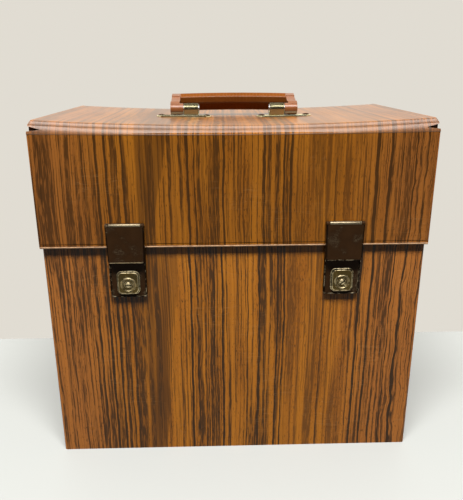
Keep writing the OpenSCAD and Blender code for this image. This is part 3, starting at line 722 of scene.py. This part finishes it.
def flap_board():
    bm = bmesh.new()
    r = FLAP_TOP_R
    points = [(FLAP_BACK, FLAP_TOP), (FLAP_FACE + r, FLAP_TOP)]
    for i in range(1, 9):
        a = math.radians(90 * i / 8)
        points.append((FLAP_FACE + r - r * math.sin(a), FLAP_TOP - r + r * math.cos(a)))
    low = FLAP_LOW + MARGIN
    points += [(FLAP_FACE, FLAP_TOP - r - (FLAP_TOP - r - low) * i / 16) for i in range(1, 16)]
    points += [(FLAP_FACE, low + 0.0004), (FLAP_FACE + 0.0004, low), (FLAP_BACK, low)]
    section = section_face(bm, [(-FLAP_HALF, y, z) for y, z in points])
    draw_out(bm, section, 2 * FLAP_HALF, 118)
    for v in bm.verts:
        fade = max(0.0, min(1.0, (v.co.z - low) / (FLAP_TOP - 0.0025 - low)))
        v.co.z += (flap_top(v.co.x) - FLAP_TOP) * fade * fade
    soften(bm, 0.0005, 2, 50.0, keep=lambda e: all(abs(abs(v.co.x) - FLAP_HALF) < 1e-5 for v in e.verts))
    piece("flap_cover", bm, "flap", FLAP_COVER, "woodgrain_covering", "flap_panel", smooth=40.0)


def flap_margin():
    """The welded margin round the flap's ends and lower edge, and a ribbed bead along the bottom."""
    bm = bmesh.new()
    front = FLAP_FACE + 0.0003
    back = FLAP_BACK - 0.0003
    middle = (front + back) / 2
    low = FLAP_LOW + 0.0009
    high = FLAP_LOW + MARGIN
    top = flap_top(HALF_CASE)
    for x in (-HALF_CASE, FLAP_HALF):
        block(bm, (MARGIN_W, back - front, top - low), (x + MARGIN_W / 2, middle, (top + low) / 2))
    block(bm, (2 * FLAP_HALF, back - front, high - low), (0, middle, (high + low) / 2))
    soften(bm, 0.00025, 2)
    piece("flap_margin_strip", bm, "flap", FLAP_COVER, "vinyl_binding", "flap_margin")

    bm = bmesh.new()
    length = 2 * (HALF_CASE - 0.0004)
    step = length / BEAD_STEPS
    bmesh.ops.create_circle(bm, cap_ends=True, segments=10, radius=BEAD_R)
    turn(bm, math.pi / 2, "Y")
    move(bm, (-length / 2, 0, 0))
    draw_out(bm, [*bm.faces, *bm.edges, *bm.verts], length, BEAD_STEPS)
    for v in bm.verts:
        rib = 1.0 - 0.16 * (round((v.co.x + length / 2) / step) % 2)
        v.co.y *= rib
        v.co.z *= rib
    move(bm, (0, FLAP_FACE + 0.0006, FLAP_LOW + 0.00065))
    piece("flap_bead", bm, "flap", EDGE_BEAD, "vinyl_binding", smooth=80.0)


# Soft hinges

def soft_sheet(name, half, rows, thickness, spot, node_name):
    """A sheet of soft binding. The rule spot places its points, from x and the share of its height."""
    bm = bmesh.new()
    bmesh.ops.create_grid(bm, x_segments=60, y_segments=rows, size=0.5)
    for v in bm.verts:
        v.co = spot(v.co.x * 2 * half, v.co.y + 0.5)
    bm.normal_update()
    bmesh.ops.solidify(bm, geom=bm.faces[:], thickness=thickness)
    return piece(name, bm, None, BINDING, "vinyl_binding", node_name)


def hinge_strips():
    """The soft strip across the back, and the one behind the gap between top panel and flap."""
    def rear_spot(x, share):
        high = TOP_Z + bow(x) - 0.0016
        return Vector((x, REAR_Y + 0.0001, REAR_STRIP_LOW + share * (high - REAR_STRIP_LOW)))

    strip = soft_sheet("rear_hinge_sheet", HALF_CASE - 0.005, 16, 0.0005, rear_spot, "rear_hinge_strip")
    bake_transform(strip, "box", "lid", (0, REAR_Y, 0.306), (0, REAR_Y, 0.322))

    def front_spot(x, share):
        past = share * 2 * STRIP_LEAF - STRIP_LEAF
        top = FLAP_TOP + bow(x) + 0.0009
        if past < 0:
            return Vector((x, FLAP_BACK + 0.0004, top + past))
        return Vector((x, FLAP_BACK + 0.0004 + past, top - past * math.tan(LID_TILT)))

    strip = soft_sheet("front_hinge_sheet", SLIT_X, 24, 0.0004, front_spot, "front_hinge_strip")
    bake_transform(strip, "flap", "lid", (0, FLAP_BACK - 0.001, FLAP_TOP - 0.008),
        (0, FLAP_BACK + 0.008, FLAP_TOP + 0.001))


def lid_spot(x, back, down):
    """Place on the top panel: its distance from the rear edge and its depth below the surface."""
    tilt = Matrix.Rotation(-LID_TILT, 3, "X")
    return tilt @ Vector((x, -back, bow(x) - down)) + Vector((0, REAR_Y, TOP_Z))


def curve(points, share):
    """A point on the smooth curve that three points steer."""
    first, steer, last = points
    return first * (1 - share) ** 2 + steer * 2 * share * (1 - share) + last * share**2


def cover_rule(x):
    """The hinge cover's run at x, as a rule from the share of the way down to the place."""
    slack = max(0.0, min(1.0, (abs(x) - TIGHT_X) / SLACK_RUN))
    slack = slack * slack * (3 - 2 * slack)
    bulge = 0.0002 + 0.0004 * slack
    start = lid_spot(max(-LID_END, min(LID_END, x)), LID_D - 0.0002, LID_T - EDGE_LIP - 0.0003)
    start += Vector((0, -0.00022, 0.00016))
    start.z -= 0.0005 * slack
    edge = Vector((x, FLAP_FACE - 0.00015, flap_top(x) - 0.0018))
    foot = Vector((x, FLAP_FACE - 0.00008, flap_top(x) - 0.0024))
    steer = start.lerp(edge, 0.5) + Vector((0, -bulge, bulge))

    def spot(share):
        if share < COVER_FREE:
            return curve((start, steer, edge), share / COVER_FREE)
        return edge.lerp(foot, (share - COVER_FREE) / (1 - COVER_FREE))

    return spot


def hinge_cover():
    """The covering that runs on from the top panel's front edge to the flap. It is tight at the middle,
    where it spans the gap in one slope, and slack towards the ends. Beyond each slit its two lips part."""
    columns = 240
    rows = 12
    bm = bmesh.new()
    grids = ([], [])
    for i in range(columns + 1):
        x = HALF_CASE * (2 * i / columns - 1)
        open_share = max(0.0, (abs(x) - SLIT_X) / (HALF_CASE - SLIT_X))
        spot = cover_rule(x)
        high = SLIT_SHARE - 0.40 * open_share
        low = SLIT_SHARE + 0.22 * open_share
        grids[0].append([spot(high * j / rows) for j in range(rows + 1)])
        grids[1].append([spot(low + (1 - low) * j / rows) for j in range(rows + 1)])
    for grid in grids:
        verts = [[bm.verts.new(p) for p in column] for column in grid]
        for left, right in zip(verts, verts[1:]):
            for j in range(rows):
                bm.faces.new((left[j], left[j + 1], right[j + 1], right[j]))
    closed = [v for v in bm.verts if abs(v.co.x) < SLIT_X]
    bmesh.ops.remove_doubles(bm, verts=closed, dist=0.000002)
    bmesh.ops.recalc_face_normals(bm, faces=bm.faces)
    bmesh.ops.solidify(bm, geom=bm.faces[:], thickness=0.00015)
    cover = piece("hinge_cover", bm, None, EDGE_COVER, "woodgrain_covering", "front_hinge_cover", smooth=40.0)
    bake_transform(cover, "flap", "lid", (0, FLAP_FACE + 0.0001, FLAP_TOP), (0, FLAP_FACE + 0.0027, FLAP_TOP))


# Latches

def hasp_outline():
    """The hasp shell seen from the front, in x and z about its middle, with rounded lower corners."""
    top = 0.0174
    low = 0.0167
    r = 0.0022
    left = [(-low + r - a, HASP_LOW + r - b) for a, b in arc(r, r, 30, 91, 30)]
    right = [(low - r + a, HASP_LOW + r - b) for a, b in arc(r, r, 90, 29, -30)]
    return [(-top, HASP_HIGH), (-low, HASP_LOW + r), *left, *right, (low, HASP_LOW + r), (top, HASP_HIGH)]


def hasp(side):
    """The pressed cover as a thin shell, open behind and above, its rolled knuckle and its base plate."""
    x = LATCH_X[side]
    bm = bmesh.new()
    section = section_face(bm, [(x + a, HASP_FACE, b) for a, b in hasp_outline()])
    thicken(bm, section[0], 0.0042)
    back = max(bm.faces, key=lambda f: f.calc_center_median().y)
    bmesh.ops.delete(bm, geom=[back], context="FACES_ONLY")
    roof = max(bm.faces, key=lambda f: f.calc_center_median().z)
    bmesh.ops.delete(bm, geom=[roof], context="FACES_ONLY")
    soften(bm, 0.0009, 4, 40.0, keep=lambda e: all(v.co.y < HASP_FACE + 0.0001 for v in e.verts))
    bmesh.ops.recalc_face_normals(bm, faces=bm.faces)
    bmesh.ops.solidify(bm, geom=bm.faces[:], thickness=0.0009)
    rub_edges(bm)
    rub = bm.verts.layers.float["rub"]
    for v in bm.verts:
        # Only the lower front edge is rubbed: real scratches, painted bright in part as a highlight
        at_lower_edge = v.co.z < HASP_LOW + 0.0011 and v.co.y < HASP_FACE + 0.0008
        v[rub] = HASP_WEAR_AND_GLINT[side] if at_lower_edge else 0.0
    piece(side + "_hasp_shell", bm, side + "_hasp", BRONZE, "bronzed_steel")

    bm = bmesh.new()
    bmesh.ops.create_cone(bm, cap_ends=True, segments=40, radius1=KNUCKLE_R, radius2=KNUCKLE_R,
        depth=2 * KNUCKLE_HALF)
    turn(bm, math.pi / 2, "Y")
    move(bm, (x, HASP_PIN_Y, HASP_PIN_Z))
    soften(bm, 0.0003, 2, 60.0)
    piece(side + "_hasp_knuckle", bm, side + "_hasp", RUBBED, "bronzed_steel", side + "_hasp_cover")

    bm = copy_of(side + "_hasp_base")
    soften(bm, 0.0002, 2, 40.0)
    piece(side + "_hasp_plate", bm, "flap", BRONZE, "bronzed_steel", side + "_hasp_base")


def lock(side):
    """The lock plate, its button and key plug, and the leaf spring behind the button."""
    lock_pan(side)
    lock_button(side)
    key_face(side)

    # The leaf spring, which flattens against the pan's outer wall as the button slides, gets a mesh of its
    # own
    spring = softened(side + "_spring_leaf", side + "_lock_spring", "box", STEEL, "plain_steel", 0.0001)
    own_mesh(spring)


def lock_pan(side):
    """The plate with its raised rim, worn along the rim and whole inside the pan."""
    x = LATCH_X[side]
    bm = copy_of(side + "_lock_plate")
    soften(bm, 0.00018, 2, 40.0)
    rub_edges(bm)
    rub = bm.verts.layers.float["rub"]
    for v in bm.verts:
        inside = v.co.z > PAN_RIM_Z and abs(v.co.x - x) < PAN_RIM_X
        v[rub] = 0.0 if inside else 0.72 * v[rub]
    piece(side + "_lock_pan", bm, "box", BRONZE, "bronzed_steel", side + "_lock_plate")


def lock_button(side):
    """The sliding button, rounded widest at its front edge, and the raised ring on it."""
    x = LATCH_X[side]

    def front_edge(e):
        outside = all(math.hypot(v.co.x - x, v.co.z - PLUG_Z) > BUTTON_RIM_R for v in e.verts)
        return e.is_convex and outside and all(v.co.y < BUTTON_STEP for v in e.verts)

    bm = copy_of(side + "_lock_button")
    soften(bm, 0.0009, 4, 40.0, keep=front_edge)
    soften(bm, 0.0003, 2, 40.0)
    rub_edges(bm, 0.0003)
    piece(side + "_button_head", bm, side + "_button", BRASS, "aged_brass", side + "_lock_button")

    bm = bmesh.new()
    ring = [(-0.0006, 0.0006), (-0.0003, -0.0001), (0.0, -0.0004), (0.0003, -0.0001), (0.0006, 0.0006)]
    turned_form(bm, (x, BUTTON_FACE, PLUG_Z), [(BUTTON_RING_R + out, depth) for out, depth in ring])
    rub_edges(bm, 0.0001)
    piece(side + "_button_ring", bm, side + "_button", BRASS, "aged_brass", smooth=50.0)


def key_face(side):
    """The face of the key plug: a low dome in two halves, with the keyway between them."""
    bm = bmesh.new()
    place = Vector((LATCH_X[side], BUTTON_FACE - 0.0003, PLUG_Z))
    disc = [(0.0, -0.00015), (0.0029, -0.00015), (0.0031, 0.0), (0.0031, 0.0003), (0.0, 0.0003)]
    turned_form(bm, place, disc)
    tilt = math.radians(KEYWAY_TILT[side])
    across = Vector((math.sin(tilt), 0, math.cos(tilt)))
    for half_side in (1, -1):
        half = bmesh.new()
        dome = arc(0.0027, -0.0012, 90, -1, -15) + [(0.0, 0.0)]
        turned_form(half, place + Vector((0, -0.0001, 0)), dome, 28)
        bmesh.ops.bisect_plane(half, geom=half.verts[:] + half.edges[:] + half.faces[:], clear_inner=True,
            plane_co=place + across * (KEYWAY_HALF * half_side - KEYWAY_DROP), plane_no=across * half_side)
        bmesh.ops.holes_fill(half, edges=[e for e in half.edges if len(e.link_faces) == 1], sides=0)
        soften(half, 0.00012, 2, 50.0)
        joined(bm, half)
    rub_edges(bm, 0.0001)
    rub = bm.verts.layers.float["rub"]
    painted_shade = bm.verts.layers.float["painted_shade"]
    # The raised halves are rubbed bright; the disc face in the keyway between them is painted dark as shade
    for v in bm.verts:
        raised = v.co.y < place.y - 0.00016
        v[rub] = 1.0 if raised else 0.0
        v[painted_shade] = 0.0 if raised else 1.0
    piece(side + "_key_face", bm, side + "_plug", BRASS, "aged_brass", smooth=45.0)


# Handle

def grip_spot(reach, depth):
    """A place on the handle: how far it lies from the pivot along the lean, and how far below."""
    along = Vector((0, math.cos(HANDLE_LEAN), math.sin(HANDLE_LEAN)))
    below = Vector((0, math.sin(HANDLE_LEAN), -math.cos(HANDLE_LEAN)))
    return PIVOT + along * reach + below * depth


def handle():
    """The moulded arms, a little deeper towards the grip, and the grip with its flat upper face."""
    bm = copy_of("handle_grip")
    along = grip_spot(1, 0) - PIVOT
    below = grip_spot(0, 1) - PIVOT
    for v in bm.verts:
        reach = (v.co - PIVOT).dot(along)
        depth = (v.co - PIVOT).dot(below)
        if depth > 0:
            v.co += below * depth * 0.55 * max(0.0, min(1.0, (reach - 0.012) / 0.008))
    soften(bm, 0.0009, 4, 20.0)
    piece("handle_moulding_body", bm, "handle", LIT_ARM_PLASTIC, "handle_moulding", "handle_grip")

    bm = bmesh.new()
    section = section_face(bm, [grip_spot(GRIP_MIDDLE + reach, depth) for reach, depth in GRIP_SECTION])
    centre = grip_spot(GRIP_MIDDLE - GRIP_ARCH_R, 0)
    half_arch = math.asin(GRIP_HALF / GRIP_ARCH_R)
    turn(bm, half_arch, below, centre)
    bmesh.ops.spin(bm, geom=section, cent=centre, axis=below, angle=-2 * half_arch, steps=32)
    bmesh.ops.recalc_face_normals(bm, faces=bm.faces)
    soften(bm, 0.0012, 4, 15.0, keep=lambda e: abs(e.verts[0].co.x - e.verts[1].co.x) > 0.001)
    rub_edges(bm, 0.0003)
    piece("handle_grip_face", bm, "handle", SHADED_GRIP_PLASTIC, "handle_moulding")


def bracket(side):
    """One of the handle's two brackets: plate, loop, turned-up lip and rivets."""
    softened(side + "_bracket_plate", side + "_handle_plate", "lid", PLATE, "aged_brass", 0.0002)
    softened(side + "_bracket_loop", side + "_handle_loop", "lid", BRIGHT, "aged_brass", 0.00025)
    plate_lip(side)
    rivet_heads(side)


def plate_lip(side):
    """The plate's front edge, turned up a little above the plate."""
    bm = copy_of(side + "_handle_plate")
    front = min(v.co.y for v in bm.verts)
    edge = [v.co.copy() for v in bm.verts if v.co.y < front + 0.00005]
    bm.free()
    first = min(edge, key=lambda p: p.x)
    last = max(edge, key=lambda p: p.x)
    middle = (first + last) / 2
    slope = (last.z - first.z) / (last.x - first.x)
    bm = bmesh.new()
    block(bm, (last.x - first.x + 0.006, 0.0013, 0.0018), (middle.x, front + 0.00065, middle.z + 0.0003),
        -math.atan(slope))
    soften(bm, 0.0005, 4)
    rub_edges(bm)
    piece(side + "_bracket_lip", bm, "lid", PLATE, "aged_brass")


def rivet_heads(side):
    """The two large domed rivets on a plate."""
    bm = bmesh.new()
    low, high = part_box(side + "_handle_plate")
    middle = (low + high) / 2
    profile = arc(RIVET_R, -RIVET_RISE, 90, -1, -15) + [(RIVET_R, 0.0003), (0.0, 0.0003)]
    for shift in (-RIVET_X, RIVET_X):
        dome = bmesh.new()
        turned_form(dome, (0, 0, 0), profile, 28)
        turn(dome, -math.pi / 2, "X")
        move(dome, lid_spot(middle.x + shift, REAR_Y - middle.y, -0.0010))
        joined(bm, dome)
    piece(side + "_rivet_heads", bm, "lid", BRONZE, "bronzed_steel", smooth=50.0)


# Solids that keep their own shape

LATCH_STEEL = ("hasp_rivets", "hasp_washers", "hasp_tongue", "lock_back_plate", "lock_clench_plate",
    "lock_bolt")
CARRIED = {
    BOX_COVER: ["base_board", "front_panel", "back_panel"],
    SIDE_COVER: ["left_side_panel", "right_side_panel"],
    LINING: ["base_lining", "front_lining", "back_lining", "left_side_lining", "right_side_lining",
        "top_lining", "flap_lining"],
    BINDING: ["mouth_binding"],
    STEEL: ["handle_backing_plates", "handle_pins"]
        + [side + "_" + part for side in LATCH_X for part in LATCH_STEEL],
    BRONZE: ["handle_rivets", "left_hasp_pin", "right_hasp_pin"],
    BRASS: ["left_key_plug", "right_key_plug"],
}


def carried_nodes():
    for finish, names in CARRIED.items():
        for name in names:
            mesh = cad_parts[name].data
            mesh.materials.clear()
            mesh.materials.append(finish)


# Building the room, the lamps and the camera

def room():
    """A pale table that ends a little behind the case."""
    finish, shader, _ = material("Pale table", roughness=0.5)
    shader["Base Color"].default_value = TABLE_COLOUR
    bm = bmesh.new()
    bmesh.ops.create_grid(bm, x_segments=2, y_segments=2, size=0.5)
    bmesh.ops.scale(bm, verts=bm.verts, vec=(TABLE_WIDTH, TABLE_DEPTH, 1.0))
    move(bm, (0, TABLE_END - TABLE_DEPTH / 2, 0))
    mesh = bpy.data.meshes.new("table_top")
    bm.to_mesh(mesh)
    bm.free()
    mesh.materials.append(finish)
    made = bpy.data.objects.new("table_top", mesh)
    bpy.context.scene.collection.objects.link(made)
    made.visible_diffuse = False


def softbox(name, place, size, power):
    """A flat lamp at the place, turned towards the case."""
    lamp = bpy.data.lights.new(name, "AREA")
    lamp.shape = "RECTANGLE"
    lamp.size, lamp.size_y = size
    lamp.energy = power
    lamp.color = LAMP_COLOUR
    made = bpy.data.objects.new(name, lamp)
    made.location = place
    made.rotation_euler = (LAMP_AIM - Vector(place)).to_track_quat("-Z", "Y").to_euler()
    bpy.context.scene.collection.objects.link(made)
    return made


def light():
    """Pale walls behind, a dim room in front, and a narrow lamp high above the front that throws the shadows.
    A larger panel in nearly the same direction gives the gloss and nothing else."""
    world = bpy.data.worlds.new("Studio")
    bpy.context.scene.world = world
    world.use_nodes = True
    tree = world.node_tree
    toward = node(tree, "ShaderNodeTexCoord").outputs["Generated"]
    depth = node(tree, "ShaderNodeSeparateXYZ", {0: toward}).outputs[1]
    background = tree.nodes["Background"].inputs
    background["Color"].default_value = WALL_COLOUR
    tree.links.new(between(tree, depth, -0.5, 0.35, 0.07, 1.0), background["Strength"])
    lamp = softbox("front_above", (-0.05, -1.17, 2.75), (1.9, 0.55), 262.0)
    lamp.visible_glossy = False
    panel = softbox("gloss_panel", (-0.05, -1.35, 2.75), (3.2, 1.5), 106.0)
    panel.visible_diffuse = False


def camera():
    """The view of the photograph, fitted to the case's corners and edges."""
    lens = bpy.data.cameras.new("view")
    lens.sensor_fit = "AUTO"
    lens.sensor_width = 36.0
    lens.lens = 36.0 * CAMERA_REACH
    lens.clip_start = 0.01
    made = bpy.data.objects.new("view", lens)
    bpy.context.scene.collection.objects.link(made)
    pitch, yaw, roll = CAMERA_PITCH, CAMERA_YAW, CAMERA_ROLL
    ahead = Vector((math.sin(yaw) * math.cos(pitch), math.cos(yaw) * math.cos(pitch), -math.sin(pitch)))
    right = Vector((math.cos(yaw), -math.sin(yaw), 0))
    up = right.cross(ahead)
    turned_right = right * math.cos(roll) + up * math.sin(roll)
    turned_up = up * math.cos(roll) - right * math.sin(roll)
    axes = Matrix((turned_right, turned_up, -ahead)).transposed()
    made.matrix_world = Matrix.Translation(CAMERA_PLACE) @ axes.to_4x4()
    bpy.context.scene.camera = made


camera()
light()
room()
carried_nodes()
top_panel()
flap_board()
flap_margin()
hinge_strips()
hinge_cover()
for side in LATCH_X:
    hasp(side)
    lock(side)
handle()
for side in LATCH_X:
    bracket(side)
bpy.context.scene.view_settings.view_transform = "Standard"
